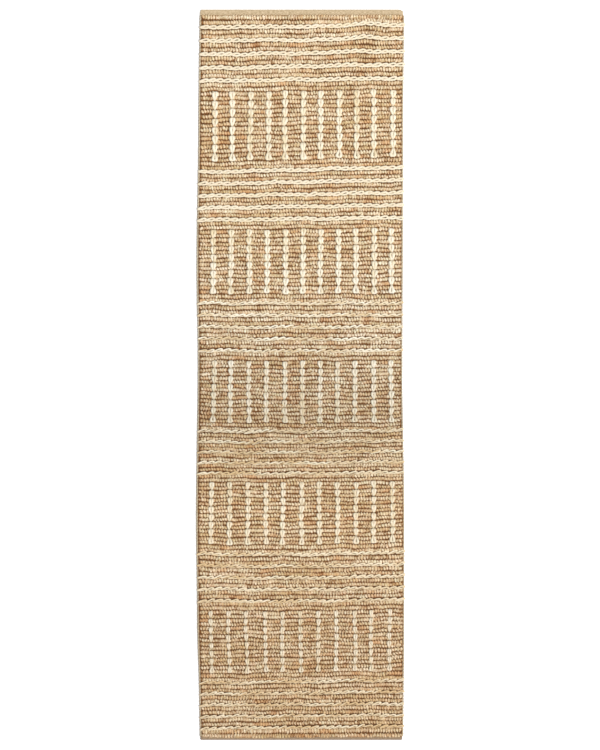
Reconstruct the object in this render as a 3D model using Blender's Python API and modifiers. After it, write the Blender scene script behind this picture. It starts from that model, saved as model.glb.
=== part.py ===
"""Runner rug, hand woven in chunky jute with ivory yarn, modelled as its separate woven pieces.

The rug lies flat: width along X, length along Y, thickness along +Z. Its origin is the middle of its
underside. From the +Y end down, it is a folded hem, then stripe bands and panel bands in turn, then
the second hem. Each stripe band carries ivory braids that lie in channels across the jute, and each
panel band carries columns of ivory stitches on top of it. The cotton warp runs through all of it.
"""

import math

import bmesh
import bpy

MM = 0.001

# Driving sizes, in millimetres. The lists run from the +Y end to the -Y end.
RUG_WIDTH = 686.0
STRIPE_LENGTHS = (250.7, 230.6, 220.6, 197.2, 220.6, 213.9)
PANEL_LENGTHS = (230.6, 217.3, 207.2, 207.2, 210.6)
TOP_HEM_LENGTH = 20.0
END_HEM_LENGTH = 12.0
HEM_UPPER_WALL = 2.3
HEM_FOLD_WALL = 4.0
CORNER_RADIUS = 9.0

JUTE_THICKNESS = 9.0
ROW_VALLEY_DEPTH = 2.4
ROW_CREST_SHARE = 0.5
JUTE_ROWS_BETWEEN_BRAIDS = 2

BRAIDS_PER_STRIPE = 5
BRAID_WIDTH = 15.0
BRAID_HEIGHT = 5.2
CHANNEL_DEPTH = 2.8

STITCHES_PER_COLUMN = 8
JUTE_ROWS_PER_STITCH = 2
COLUMN_PITCH = 59.3
COLUMN_WIDTH = 20.0
FIRST_COLUMN_INSET = 49.0
LAST_COLUMN_INSET = 40.0
STITCH_HEIGHT = 2.8
STITCH_DIP = 1.2
CARRIED_YARN_WIDTH = 3.0

WARP_THICKNESS = 1.4
JUTE_OVER_WARP = 1.3
WARP_SIDE_MARGIN = 5.0
WARP_END_GAP = 1.0

SELVEDGE_WIDTH = 7.0
SELVEDGE_DROP = 0.6

SEAM_WIDTH = 2.0
SEAM_HEIGHT = 1.2
SEAM_GROOVE_DEPTH = 0.8
SEAM_INSET = 5.0

CLEARANCE = 0.3
CUT_OVERRUN = 5.0

# Heights that follow: the braids and the carried yarn lie in channels of one depth, with a web of
# jute between the channels' floor and the warp's slot, and the hems fold over the warp's ends.
CHANNEL_FLOOR = JUTE_THICKNESS - CHANNEL_DEPTH
SLOT_TOP = CHANNEL_FLOOR - JUTE_OVER_WARP
WARP_TOP = SLOT_TOP - CLEARANCE
WARP_UNDERSIDE = WARP_TOP - WARP_THICKNESS
SLOT_FLOOR = WARP_UNDERSIDE - CLEARANCE
HEM_THICKNESS = SLOT_TOP + HEM_UPPER_WALL
SELVEDGE_THICKNESS = JUTE_THICKNESS - SELVEDGE_DROP

# Colours of the yarns, as linear values.
JUTE = (0.50, 0.33, 0.17)
JUTE_PANEL = (0.47, 0.31, 0.17)
IVORY = (0.84, 0.76, 0.60)
IVORY_STITCH = (0.86, 0.79, 0.65)
COTTON = (0.72, 0.63, 0.46)
HEM_CLOTH = (0.62, 0.46, 0.27)
SEAM_THREAD = (0.66, 0.52, 0.34)
SELVEDGE_JUTE = (0.40, 0.27, 0.15)


def clear_scene():
    """Removes whatever the new file holds."""
    for old in list(bpy.data.objects):
        bpy.data.objects.remove(old, do_unlink=True)


def new_collection(name):
    """Adds a collection to the scene."""
    collection = bpy.data.collections.new(name)
    bpy.context.scene.collection.children.link(collection)
    return collection


def yarn_material(name, colour, roughness):
    """A matt fibre, which has no metallic share."""
    material = bpy.data.materials.new(name)
    material.use_nodes = True
    shader = material.node_tree.nodes["Principled BSDF"]
    shader.inputs["Base Color"].default_value = (*colour, 1.0)
    shader.inputs["Roughness"].default_value = roughness
    shader.inputs["Metallic"].default_value = 0.0
    material.diffuse_color = (*colour, 1.0)
    return material


def outline_curve(name, outline, depth):
    """A flat outline in millimetres, filled and extruded to the depth about its own plane."""
    curve = bpy.data.curves.new(name, "CURVE")
    curve.dimensions = "2D"
    curve.fill_mode = "BOTH"
    curve.extrude = depth / 2 * MM
    spline = curve.splines.new("POLY")
    spline.points.add(len(outline) - 1)
    for point, (across, up) in zip(spline.points, outline):
        point.co = (across * MM, up * MM, 0.0, 1.0)
    spline.use_cyclic_u = True
    return bpy.data.objects.new(name, curve)


def add_across(collection, name, outline, width, centre_y, centre_x=0.0):
    """A (y, z) outline extruded across the rug, along X."""
    piece = outline_curve(name, outline, width)
    piece.rotation_euler = (math.pi / 2, 0.0, math.pi / 2)
    piece.location = (centre_x * MM, centre_y * MM, 0.0)
    collection.objects.link(piece)
    return piece


def add_along(collection, name, outline, length, centre_x, centre_y):
    """An (x, z) outline extruded along the rug, along Y."""
    piece = outline_curve(name, outline, length)
    piece.rotation_euler = (math.pi / 2, 0.0, 0.0)
    piece.location = (centre_x * MM, centre_y * MM, 0.0)
    collection.objects.link(piece)
    return piece


def add_block(collection, name, low, high):
    """A box between two corners given in millimetres."""
    mesh = bpy.data.meshes.new(name)
    shape = bmesh.new()
    bmesh.ops.create_cube(shape, size=1.0)
    size = [(b - a) * MM for a, b in zip(low, high)]
    bmesh.ops.scale(shape, vec=size, verts=shape.verts)
    shape.to_mesh(mesh)
    shape.free()
    block = bpy.data.objects.new(name, mesh)
    block.location = [(a + b) / 2 * MM for a, b in zip(low, high)]
    collection.objects.link(block)
    return block


def as_mesh(piece):
    """Swaps a curve object for a mesh object with the same name, place and welded caps."""
    bpy.context.view_layer.update()
    evaluated = piece.evaluated_get(bpy.context.evaluated_depsgraph_get())
    mesh = bpy.data.meshes.new_from_object(evaluated)
    shape = bmesh.new()
    shape.from_mesh(mesh)
    bmesh.ops.remove_doubles(shape, verts=shape.verts, dist=1e-6)
    bmesh.ops.recalc_face_normals(shape, faces=shape.faces)
    shape.to_mesh(mesh)
    shape.free()
    name = piece.name
    collection = piece.users_collection[0]
    place = piece.matrix_world.copy()
    bpy.data.objects.remove(piece, do_unlink=True)
    solid = bpy.data.objects.new(name, mesh)
    solid.matrix_world = place
    collection.objects.link(solid)
    return solid


def as_cutter(tool):
    """Hides a shape that only cuts or joins."""
    tool.hide_render = True
    tool.display_type = "WIRE"
    return tool


def add_boolean(piece, tool, operation):
    """Cuts, joins or trims a piece with a tool."""
    modifier = piece.modifiers.new(tool.name, "BOOLEAN")
    modifier.object = tool
    modifier.operation = operation
    modifier.solver = "EXACT"


def finish_piece(piece, parent, colour, roughness):
    """Gives a piece its own material and hangs it under the rug's empty."""
    piece.data.materials.clear()
    piece.data.materials.append(yarn_material(piece.name + "_yarn", colour, roughness))
    piece.parent = parent


def band_layout():
    """Each band's name, kind, length and middle, with the gap to its neighbours taken off its length."""
    order = []
    for number, length in enumerate(STRIPE_LENGTHS, start=1):
        order.append((f"stripe_{number}", "stripe", length))
        if number <= len(PANEL_LENGTHS):
            order.append((f"panel_{number}", "panel", PANEL_LENGTHS[number - 1]))
    woven_length = sum(length for _, _, length in order)
    overall = TOP_HEM_LENGTH + woven_length + END_HEM_LENGTH
    start = overall / 2 - TOP_HEM_LENGTH
    bands = []
    for name, kind, length in order:
        bands.append((name, kind, length - CLEARANCE, start - length / 2))
        start -= length
    return bands, overall


def row_crest(start, row):
    """The top of one jute row: a valley, then a flat crest over the row's middle."""
    shoulder = row * (1 - ROW_CREST_SHARE) / 2
    valley = JUTE_THICKNESS - ROW_VALLEY_DEPTH
    return [(start, valley), (start + shoulder, JUTE_THICKNESS), (start + row - shoulder, JUTE_THICKNESS)]


def close_under(top, length):
    """Closes a top line, which runs towards +Y, with the last valley and the flat underside."""
    valley = JUTE_THICKNESS - ROW_VALLEY_DEPTH
    return top + [(length / 2, valley), (length / 2, 0.0), (-length / 2, 0.0)]


def stripe_outline(length):
    """Jute rows in pairs, with a channel for a braid between the pairs. Also gives the braids' middles."""
    channel = BRAID_WIDTH + 2 * CLEARANCE
    rows = JUTE_ROWS_BETWEEN_BRAIDS * (BRAIDS_PER_STRIPE + 1)
    row = (length - BRAIDS_PER_STRIPE * channel) / rows
    valley = JUTE_THICKNESS - ROW_VALLEY_DEPTH
    top = []
    braid_places = []
    place = -length / 2
    for group in range(BRAIDS_PER_STRIPE + 1):
        for _ in range(JUTE_ROWS_BETWEEN_BRAIDS):
            top += row_crest(place, row)
            place += row
        if group < BRAIDS_PER_STRIPE:
            top += [(place, valley), (place, CHANNEL_FLOOR)]
            braid_places.append(place + channel / 2)
            place += channel
            top.append((place, CHANNEL_FLOOR))
    return close_under(top, length), braid_places


def carried_yarn_places(length):
    """Where the ivory yarn crosses between columns: one row in from each end of the panel."""
    row = length / (STITCHES_PER_COLUMN * JUTE_ROWS_PER_STITCH)
    return (-length / 2 + row, length / 2 - row)


def panel_outline(length):
    """Jute rows side by side, with a narrow notch at each place where the ivory yarn crosses."""
    rows = STITCHES_PER_COLUMN * JUTE_ROWS_PER_STITCH
    row = length / rows
    notch = CARRIED_YARN_WIDTH + 2 * CLEARANCE
    shoulder = row * (1 - ROW_CREST_SHARE) / 2
    top = []
    for number in range(rows):
        start = -length / 2 + number * row
        crest = row_crest(start, row)
        if number in (1, rows - 1):
            side = JUTE_THICKNESS - ROW_VALLEY_DEPTH * (1 - notch / 2 / shoulder)
            near = start - notch / 2
            far = start + notch / 2
            top += [(near, side), (near, CHANNEL_FLOOR), (far, CHANNEL_FLOOR)]
            crest[0] = (far, side)
        top += crest
    return close_under(top, length)


def braid_outline():
    """A low rounded bar that fills its channel and stands a little above the jute."""
    half = BRAID_WIDTH / 2
    low = CHANNEL_FLOOR + CLEARANCE
    high = low + BRAID_HEIGHT
    ease = BRAID_HEIGHT * 0.35
    return [
        (-half, low),
        (half, low),
        (half, high - ease),
        (half - ease, high - ease * 0.25),
        (half - 2 * ease, high),
        (-half + 2 * ease, high),
        (-half + ease, high - ease * 0.25),
        (-half, high - ease),
    ]


def column_outline(length):
    """A column of stitches seen from its side: each stitch rises to a crest and dips to the next."""
    stitch = length / STITCHES_PER_COLUMN
    low = JUTE_THICKNESS + CLEARANCE
    high = low + STITCH_HEIGHT
    top = []
    for number in range(STITCHES_PER_COLUMN):
        start = -length / 2 + number * stitch
        top += [(start, high - STITCH_DIP), (start + stitch * 0.6, high)]
    return top + [(length / 2, high - STITCH_DIP), (length / 2, low), (-length / 2, low)]


def column_places():
    """The middle of each stitch column across the rug, as many as its width holds."""
    span = RUG_WIDTH - FIRST_COLUMN_INSET - LAST_COLUMN_INSET
    count = int(span / COLUMN_PITCH) + 1
    return [-RUG_WIDTH / 2 + FIRST_COLUMN_INSET + COLUMN_PITCH * n for n in range(count)]


def rounded_edge_outline(width, thickness, side):
    """A selvedge cord's section: flat towards the rows and underneath, round on its outer side."""
    half = width / 2
    base = [(-side * half, thickness), (-side * half, 0.0)]
    turns = 6
    reach = width * 0.7
    arc = []
    for step in range(turns + 1):
        angle = -math.pi / 2 + math.pi * step / turns
        across = side * (half - reach + reach * math.cos(angle))
        arc.append((across, thickness / 2 * (1 + math.sin(angle))))
    return base + arc


def hem_outline(length, side):
    """A folded strip: round at the fold, open towards the rug where the warp ends go in."""
    fold_turns = 6
    radius = HEM_THICKNESS / 2
    inner = -side * (length - CLEARANCE / 2) / 2
    outer = side * (length - CLEARANCE / 2) / 2
    slot_end = outer - side * HEM_FOLD_WALL
    arc = []
    for step in range(fold_turns + 1):
        angle = -math.pi / 2 + math.pi * step / fold_turns
        arc.append((outer - side * radius * (1 - math.cos(angle)), radius + radius * math.sin(angle)))
    throat = [(inner, SLOT_TOP), (slot_end, SLOT_TOP), (slot_end, SLOT_FLOOR), (inner, SLOT_FLOOR)]
    return [(inner, 0.0)] + arc + [(inner, HEM_THICKNESS)] + throat


def seam_outline():
    """The stitch line's section, seated in its groove."""
    half = SEAM_WIDTH / 2
    low = HEM_THICKNESS - SEAM_GROOVE_DEPTH + CLEARANCE
    high = low + SEAM_HEIGHT
    shoulder = high - half / 2
    right = [(half, low), (half, shoulder), (half / 2, high)]
    left = [(-half / 2, high), (-half, shoulder), (-half, low)]
    return right + left


def corner_plan(overall):
    """The rug's outline from above, with its corners rounded."""
    turns = 5
    plan = []
    reach_x = RUG_WIDTH / 2 - CORNER_RADIUS
    reach_y = overall / 2 - CORNER_RADIUS
    for quarter, (sign_x, sign_y) in enumerate(((1, 1), (-1, 1), (-1, -1), (1, -1))):
        for step in range(turns + 1):
            angle = math.pi / 2 * (quarter + step / turns)
            across = sign_x * reach_x + CORNER_RADIUS * math.cos(angle)
            along = sign_y * reach_y + CORNER_RADIUS * math.sin(angle)
            plan.append((across, along))
    return plan


def build_band(parts, parent, name, kind, length, centre_y, row_width, warp_slot):
    """One band of jute rows with the slot that the warp runs through."""
    outline = stripe_outline(length)[0] if kind == "stripe" else panel_outline(length)
    band = as_mesh(add_across(parts, name + "_jute_rows", outline, row_width, centre_y))
    add_boolean(band, warp_slot, "DIFFERENCE")
    finish_piece(band, parent, JUTE if kind == "stripe" else JUTE_PANEL, 0.92)


def build_braids(parts, parent, name, length, centre_y, row_width):
    """The ivory braids of one stripe band, each in its own channel."""
    places = stripe_outline(length)[1]
    for number, place in enumerate(reversed(places), start=1):
        braid = add_across(parts, f"{name}_braid_{number}", braid_outline(), row_width, centre_y + place)
        finish_piece(braid, parent, IVORY, 0.88)


def build_columns(parts, cutters, parent, name, length, centre_y):
    """The stitch columns of one panel band, joined by the ivory yarn carried between them."""
    places = column_places()
    outline = column_outline(length)
    first = add_across(parts, name + "_stitch_columns", outline, COLUMN_WIDTH, centre_y, places[0])
    columns = as_mesh(first)
    array = columns.modifiers.new("columns across the rug", "ARRAY")
    array.count = len(places)
    array.use_relative_offset = False
    array.use_constant_offset = True
    array.constant_offset_displace = (0.0, 0.0, COLUMN_PITCH * MM)
    array.use_merge_vertices = False
    half = CARRIED_YARN_WIDTH / 2
    reach = COLUMN_WIDTH / 2 - CLEARANCE
    yarn_low = CHANNEL_FLOOR + CLEARANCE
    yarn_high = JUTE_THICKNESS + CLEARANCE + STITCH_HEIGHT / 4
    for number, place in enumerate(carried_yarn_places(length), start=1):
        low = (places[0] - reach, centre_y + place - half, yarn_low)
        high = (places[-1] + reach, centre_y + place + half, yarn_high)
        yarn = as_cutter(add_block(cutters, f"{name}_carried_yarn_{number}", low, high))
        add_boolean(columns, yarn, "UNION")
    finish_piece(columns, parent, IVORY_STITCH, 0.88)


def build_hem(parts, cutters, parent, name, length, side, overall, trim):
    """A folded hem and the line of stitching that closes it."""
    centre_y = side * (overall - length + CLEARANCE / 2) / 2
    hem = as_mesh(add_across(parts, name, hem_outline(length, side), RUG_WIDTH, centre_y))
    seam_y = side * (overall / 2 - length + SEAM_INSET)
    seam_width = RUG_WIDTH - 2 * CORNER_RADIUS
    groove_half = SEAM_WIDTH / 2 + CLEARANCE
    floor = HEM_THICKNESS - SEAM_GROOVE_DEPTH
    low = (-seam_width / 2 - CLEARANCE, seam_y - groove_half, floor)
    high = (seam_width / 2 + CLEARANCE, seam_y + groove_half, HEM_THICKNESS + CUT_OVERRUN)
    groove = as_cutter(add_block(cutters, name + "_seam_groove", low, high))
    add_boolean(hem, trim, "INTERSECT")
    add_boolean(hem, groove, "DIFFERENCE")
    finish_piece(hem, parent, HEM_CLOTH, 0.9)
    seam = add_across(parts, name + "_seam", seam_outline(), seam_width, seam_y)
    finish_piece(seam, parent, SEAM_THREAD, 0.8)


def build_selvedges(parts, parent, overall):
    """The edge cord down each long side, from hem to hem."""
    low = -overall / 2 + END_HEM_LENGTH + CLEARANCE / 2
    high = overall / 2 - TOP_HEM_LENGTH - CLEARANCE / 2
    for name, side in (("left_selvedge", -1), ("right_selvedge", 1)):
        outline = rounded_edge_outline(SELVEDGE_WIDTH, SELVEDGE_THICKNESS, side)
        centre_x = side * (RUG_WIDTH - SELVEDGE_WIDTH) / 2
        cord = add_along(parts, name, outline, high - low, centre_x, (low + high) / 2)
        finish_piece(cord, parent, SELVEDGE_JUTE, 0.92)


def build_warp(parts, parent, overall, row_width):
    """The cotton warp, a flat layer of cords that runs from hem to hem inside the rows."""
    half = row_width / 2 - WARP_SIDE_MARGIN - CLEARANCE
    reach = overall / 2 - HEM_FOLD_WALL - WARP_END_GAP
    warp = add_block(parts, "warp_cords", (-half, -reach, WARP_UNDERSIDE), (half, reach, WARP_TOP))
    finish_piece(warp, parent, COTTON, 0.85)


def build_rug():
    """Builds every piece of the rug."""
    clear_scene()
    parts = new_collection("runner_rug")
    cutters = new_collection("cutters")
    parent = bpy.data.objects.new("runner_rug_origin", None)
    parts.objects.link(parent)

    bands, overall = band_layout()
    row_width = RUG_WIDTH - 2 * (SELVEDGE_WIDTH + CLEARANCE)

    slot_half = row_width / 2 - WARP_SIDE_MARGIN
    slot_low = (-slot_half, -overall / 2, SLOT_FLOOR)
    slot_high = (slot_half, overall / 2, SLOT_TOP)
    warp_slot = as_cutter(add_block(cutters, "warp_slot", slot_low, slot_high))
    trim_curve = outline_curve("corner_trim", corner_plan(overall), 2 * (HEM_THICKNESS + CUT_OVERRUN))
    cutters.objects.link(trim_curve)
    trim = as_cutter(as_mesh(trim_curve))

    for name, kind, length, centre_y in bands:
        build_band(parts, parent, name, kind, length, centre_y, row_width, warp_slot)
        if kind == "stripe":
            build_braids(parts, parent, name, length, centre_y, row_width)
        else:
            build_columns(parts, cutters, parent, name, length, centre_y)
    build_hem(parts, cutters, parent, "top_hem", TOP_HEM_LENGTH, 1, overall, trim)
    build_hem(parts, cutters, parent, "end_hem", END_HEM_LENGTH, -1, overall, trim)
    build_selvedges(parts, parent, overall)
    build_warp(parts, parent, overall, row_width)


build_rug()
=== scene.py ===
"""Runner rug in chunky jute and ivory yarn, laid flat and seen from above."""
import math

import bpy
import numpy as np
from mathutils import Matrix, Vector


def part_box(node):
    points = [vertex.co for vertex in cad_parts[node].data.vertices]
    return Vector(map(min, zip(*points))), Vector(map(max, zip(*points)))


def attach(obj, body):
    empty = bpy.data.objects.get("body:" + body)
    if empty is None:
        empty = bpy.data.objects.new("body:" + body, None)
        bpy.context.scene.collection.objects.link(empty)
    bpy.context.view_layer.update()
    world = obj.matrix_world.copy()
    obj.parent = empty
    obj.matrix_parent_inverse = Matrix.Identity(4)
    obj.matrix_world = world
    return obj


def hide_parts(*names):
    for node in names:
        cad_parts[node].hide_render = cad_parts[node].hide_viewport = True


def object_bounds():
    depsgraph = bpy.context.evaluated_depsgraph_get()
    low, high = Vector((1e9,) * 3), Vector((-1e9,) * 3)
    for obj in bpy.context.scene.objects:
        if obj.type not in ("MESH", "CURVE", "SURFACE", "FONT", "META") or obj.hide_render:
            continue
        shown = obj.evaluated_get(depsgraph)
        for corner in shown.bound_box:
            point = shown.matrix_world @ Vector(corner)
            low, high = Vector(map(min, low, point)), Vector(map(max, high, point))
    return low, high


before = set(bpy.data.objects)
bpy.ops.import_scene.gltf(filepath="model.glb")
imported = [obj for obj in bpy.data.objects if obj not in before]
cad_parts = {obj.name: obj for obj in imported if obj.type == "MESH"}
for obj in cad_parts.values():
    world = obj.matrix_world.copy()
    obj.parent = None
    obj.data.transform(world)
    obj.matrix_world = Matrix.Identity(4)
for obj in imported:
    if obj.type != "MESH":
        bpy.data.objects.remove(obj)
cad_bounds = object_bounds()

# --- Studio -----------------------------------------------------------------------------------
# The rug lies on a plain white floor under soft studio light. A long lens looks straight down,
# so the rug's sides don't show, and the key light stands off its near right corner.

rug_low, rug_high = cad_bounds
rug_width = rug_high.x - rug_low.x
rug_length = rug_high.y - rug_low.y
rug_middle = ((rug_low.x + rug_high.x) / 2, (rug_low.y + rug_high.y) / 2)

LENS_MM = 100
SENSOR_MM = 36
CLIP_END = 50
RUG_SHARE_OF_VIEW = 0.97493
VIEW_LENGTH = rug_length / RUG_SHARE_OF_VIEW
VIEW_SHIFT = (-0.0045, -0.0006)

camera_data = bpy.data.cameras.new("camera")
camera_data.lens = LENS_MM
camera_data.sensor_width = SENSOR_MM
camera_data.clip_end = CLIP_END
camera = bpy.data.objects.new("camera", camera_data)
camera.location = (
    rug_middle[0] + VIEW_SHIFT[0],
    rug_middle[1] + VIEW_SHIFT[1],
    rug_high.z + VIEW_LENGTH * LENS_MM / SENSOR_MM,
)
bpy.context.scene.collection.objects.link(camera)
bpy.context.scene.camera = camera
bpy.context.scene.view_settings.view_transform = "Standard"


def linear(hex_colour):
    """An sRGB hex colour as linear RGBA."""
    channels = [int(hex_colour[i : i + 2], 16) / 255 for i in (1, 3, 5)]
    return (*[c / 12.92 if c <= 0.04045 else ((c + 0.055) / 1.055) ** 2.4 for c in channels], 1.0)


def add_node(tree, kind, feeds=None, out=None, **settings):
    """Adds a node with its settings, and feeds its sockets with values or other sockets. Gives the
    node, or its output named by out."""
    made = tree.nodes.new(kind)
    for key, value in settings.items():
        setattr(made, key, value)
    for socket, source in (feeds or {}).items():
        if isinstance(source, bpy.types.NodeSocket):
            tree.links.new(source, made.inputs[socket])
        else:
            made.inputs[socket].default_value = source
    return made if out is None else made.outputs[out]


def new_material(name, roughness):
    """An empty Principled material: its tree and its shader."""
    material = bpy.data.materials.new(name)
    material.use_nodes = True
    shader = material.node_tree.nodes["Principled BSDF"]
    shader.inputs["Roughness"].default_value = roughness
    shader.inputs["Metallic"].default_value = 0.0
    return material, material.node_tree, shader


# A matt paper sweep: nearly white, with the faint cloudiness of paper.
COLOUR_MIX = {"data_type": "RGBA"}
PAPER_CLOUDS_PER_METRE = 2.0
PAPER_GLOW = 0.2
WHITE = linear("#ffffff")
paper, paper_tree, paper_shader = new_material("white_paper_sweep", roughness=0.95)
paper_cloud = add_node(
    paper_tree, "ShaderNodeTexNoise", {"Scale": PAPER_CLOUDS_PER_METRE, "Detail": 2.0}, "Fac"
)
paper_tone = add_node(
    paper_tree, "ShaderNodeMix",
    {0: paper_cloud, 6: linear("#f8f8f8"), 7: linear("#fbfbfb")}, 2, **COLOUR_MIX,
)
paper_tree.links.new(paper_tone, paper_shader.inputs["Base Color"])
paper_shader.inputs["Emission Color"].default_value = WHITE
paper_shader.inputs["Emission Strength"].default_value = PAPER_GLOW

FLOOR_RADIUS = 90.0
FLOOR_DROP = 0.0004
FLOOR_SIDES = 96
floor_turns = [2 * math.pi * n / FLOOR_SIDES for n in range(FLOOR_SIDES)]
floor_mesh = bpy.data.meshes.new("floor")
floor_mesh.from_pydata(
    [(FLOOR_RADIUS * math.cos(a), FLOOR_RADIUS * math.sin(a), -FLOOR_DROP) for a in floor_turns],
    [],
    [list(range(FLOOR_SIDES))],
)
floor_mesh.materials.append(paper)
floor = bpy.data.objects.new("floor", floor_mesh)
bpy.context.scene.collection.objects.link(floor)


def add_soft_light(name, power, size, place):
    """A square soft box of that power in watts and size in metres, which faces the rug's middle."""
    data = bpy.data.lights.new(name, "AREA")
    data.energy = power
    data.size = size
    light = bpy.data.objects.new(name, data)
    light.location = place
    aim = Vector((rug_middle[0], rug_middle[1], 0.0)) - light.location
    light.rotation_mode = "QUATERNION"
    light.rotation_quaternion = aim.to_track_quat("-Z", "Y")
    bpy.context.scene.collection.objects.link(light)


add_soft_light("key_light", power=2040, size=3.0, place=(7.0, -3.0, 11.0))
add_soft_light("fill_light", power=150, size=6.0, place=(-7.0, -1.0, 9.0))

SKY_STRENGTH = 0.6
sky = bpy.data.worlds.new("studio")
sky.use_nodes = True
sky.node_tree.nodes["Background"].inputs["Color"].default_value = WHITE
sky.node_tree.nodes["Background"].inputs["Strength"].default_value = SKY_STRENGTH
bpy.context.scene.world = sky

# --- Cotton warp ------------------------------------------------------------------------------
# 147 unbleached cotton cords run the whole length inside the rows and end in the hems. They are
# set 4.6 mm apart, and short fluff from the jute fills the space between one and the next. Cords
# and fluff are painted a dark brown that stands for the shade in the gaps between the rows.

MM = 0.001

# How the hand-woven edges drift outwards, in mm, at fractions of the length from the +Y end.
LEFT_EDGE_DRIFT = ((0, -3), (0.16, 1), (0.35, 7), (0.48, 3), (0.7, 8.5), (0.83, 5), (0.95, -2), (1, -4))
RIGHT_EDGE_DRIFT = ((0, 1), (0.15, -2.5), (0.3, -3), (0.5, -5), (0.7, 1.5), (0.86, 1), (1, -2))

# How the rows drift towards +Y, in mm, at mm from the +Y end: by how much the right end is higher
# than the left, how far the middle sags, and how high a hump stands right of the middle.
ROW_TILT = (
    (0, 0), (18, 0), (60, 5), (105, 7), (200, 13), (243, 10), (530, 17), (620, 12), (702, 9), (980, 0),
    (1340, 0), (1450, 4), (1810, 7), (1990, 5), (2240, 10), (2340, 5), (2400, 9), (2420, 2), (2440, 0),
)
ROW_SAG = ((0, 0), (900, 0), (1400, 4), (1600, 2), (1850, 6), (2000, 4), (2240, 0), (2440, 0))
ROW_HUMP = ((0, 0), (18, 0), (60, 10), (105, 9), (150, 4), (200, 0), (2440, 0))
HUMP_PLACE_MM = 215
HUMP_REACH_MM = 62

# Slow waves that neighbouring rows share: height in mm, then mm per wave across and along, and
# phase. They start a little way in from each end.
ROW_WAVES = ((1.3, 236, 410, 0.4), (0.9, -143, 260, 1.9), (0.7, 88, -190, 4.1), (0.5, 57, 121, 2.6))
WAVE_START_MM = 15
WAVE_FADE_MM = 60


def eased(knots, at):
    """Reads a value between given knots with a smooth step from each to the next."""
    places, values = np.array(knots, float).T
    at = np.clip(at, places[0], places[-1])
    after = np.clip(np.searchsorted(places, at, side="right"), 1, len(places) - 1)
    step = (at - places[after - 1]) / (places[after] - places[after - 1])
    step = step * step * (3 - 2 * step)
    return values[after - 1] + (values[after] - values[after - 1]) * step


def laid_out(points):
    """Moves points of a straight, square weave to where the hand-woven rug has them."""
    x, y, z = np.moveaxis(np.asarray(points, float), -1, 0)
    from_top = (rug_high.y - y) / MM
    share = x / rug_width + 0.5
    side = 2 * share - 1
    hump = eased(ROW_HUMP, from_top) * np.exp(-(((x / MM - HUMP_PLACE_MM) / HUMP_REACH_MM) ** 2))
    lift = eased(ROW_TILT, from_top) * (share - 0.5) - eased(ROW_SAG, from_top) * (1 - side**2) + hump
    from_end = np.minimum(from_top, rug_length / MM - from_top)
    strength = np.clip((from_end - WAVE_START_MM) / WAVE_FADE_MM, 0, 1)
    for height, across, along, phase in ROW_WAVES:
        lift = lift + strength * height * np.sin(2 * math.pi * (x / MM / across + y / MM / along) + phase)
    fraction = from_top * MM / rug_length
    out = eased(RIGHT_EDGE_DRIFT, fraction) * share - eased(LEFT_EDGE_DRIFT, fraction) * (1 - share)
    return np.stack([x + out * MM, y + lift * MM, z], -1)


def add_mesh(name, points, quads, caps, maps, material, nodes):
    """Adds a mesh object that stands for CAD nodes. maps holds each UV map's value at each corner of the
    quads and of the caps."""
    mesh = bpy.data.meshes.new(name)
    corners = np.concatenate([np.asarray(quads).ravel(), np.asarray(caps).ravel()]).astype(np.int32)
    sizes = np.concatenate([np.full(len(quads), 4), np.full(len(caps), caps.shape[1])])
    mesh.vertices.add(len(points))
    mesh.vertices.foreach_set("co", np.asarray(points, np.float32).ravel())
    mesh.loops.add(len(corners))
    mesh.loops.foreach_set("vertex_index", corners)
    mesh.polygons.add(len(sizes))
    starts = np.concatenate([[0], np.cumsum(sizes)[:-1]])
    mesh.polygons.foreach_set("loop_start", starts.astype(np.int32))
    for map_name, (quad_places, cap_places) in maps.items():
        layer = mesh.uv_layers.new(name=map_name)
        both = np.concatenate([quad_places.reshape(-1, 2), cap_places.reshape(-1, 2)])
        layer.uv.foreach_set("vector", both.astype(np.float32).ravel())
    mesh.update(calc_edges=True)
    mesh.shade_smooth()
    mesh.materials.append(material)
    piece = bpy.data.objects.new(name, mesh)
    bpy.context.scene.collection.objects.link(piece)
    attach(piece, "root")
    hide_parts(*nodes)
    return piece


BAKE_MARGIN = 0.02


def add_tubes(name, rings, along, cells, material, nodes):
    """Adds closed tubes. rings is (tubes, steps, sides, 3), along is the yarn's length at each step in
    metres, and cells is each tube's low corner and size on the OFBake map."""
    tubes, steps, sides, _ = rings.shape
    ids = np.arange(tubes * steps * sides).reshape(tubes, steps, sides)
    turned = np.roll(ids, -1, axis=2)
    quads = np.stack([ids[:, :-1], ids[:, 1:], turned[:, 1:], turned[:, :-1]], -1).reshape(-1, 4)
    caps = np.concatenate([ids[:, 0], ids[:, -1, ::-1]])
    round_step = np.arange(sides + 1) / sides
    length_step = np.arange(steps) / (steps - 1)
    girth = np.linalg.norm(rings - np.roll(rings, 1, axis=2), axis=-1).sum(2).mean()

    def at_corners(u, v):
        """Values at each ring corner, gathered to the quads' corners and the caps'."""
        grid = np.stack(np.broadcast_arrays(u, v), -1)
        near, far = grid[:, :-1], grid[:, 1:]
        quad = np.stack([near[:, :, :-1], far[:, :, :-1], far[:, :, 1:], near[:, :, 1:]], 3)
        cap = np.concatenate([grid[:, 0, :-1], grid[:, -1, -2::-1]])
        return quad.reshape(-1, 4, 2), cap

    cell = np.asarray(cells, float)[:, :, None, None]
    bake_u = cell[:, 0] + cell[:, 2] * length_step[None, :, None]
    across_cell = BAKE_MARGIN + (1 - 2 * BAKE_MARGIN) * round_step[None, None, :]
    bake_v = cell[:, 1] + cell[:, 3] * across_cell
    maps = {
        "yarn": at_corners(along[:, :, None], (round_step * girth)[None, None, :]),
        "OFBake": at_corners(bake_u, bake_v),
    }
    return add_mesh(name, rings.reshape(-1, 3), quads, caps, maps, material, nodes)


# The groove between two plies sinks more than the plies stand out.
PLIES = 2
GROOVE_SINK = 0.25


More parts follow.
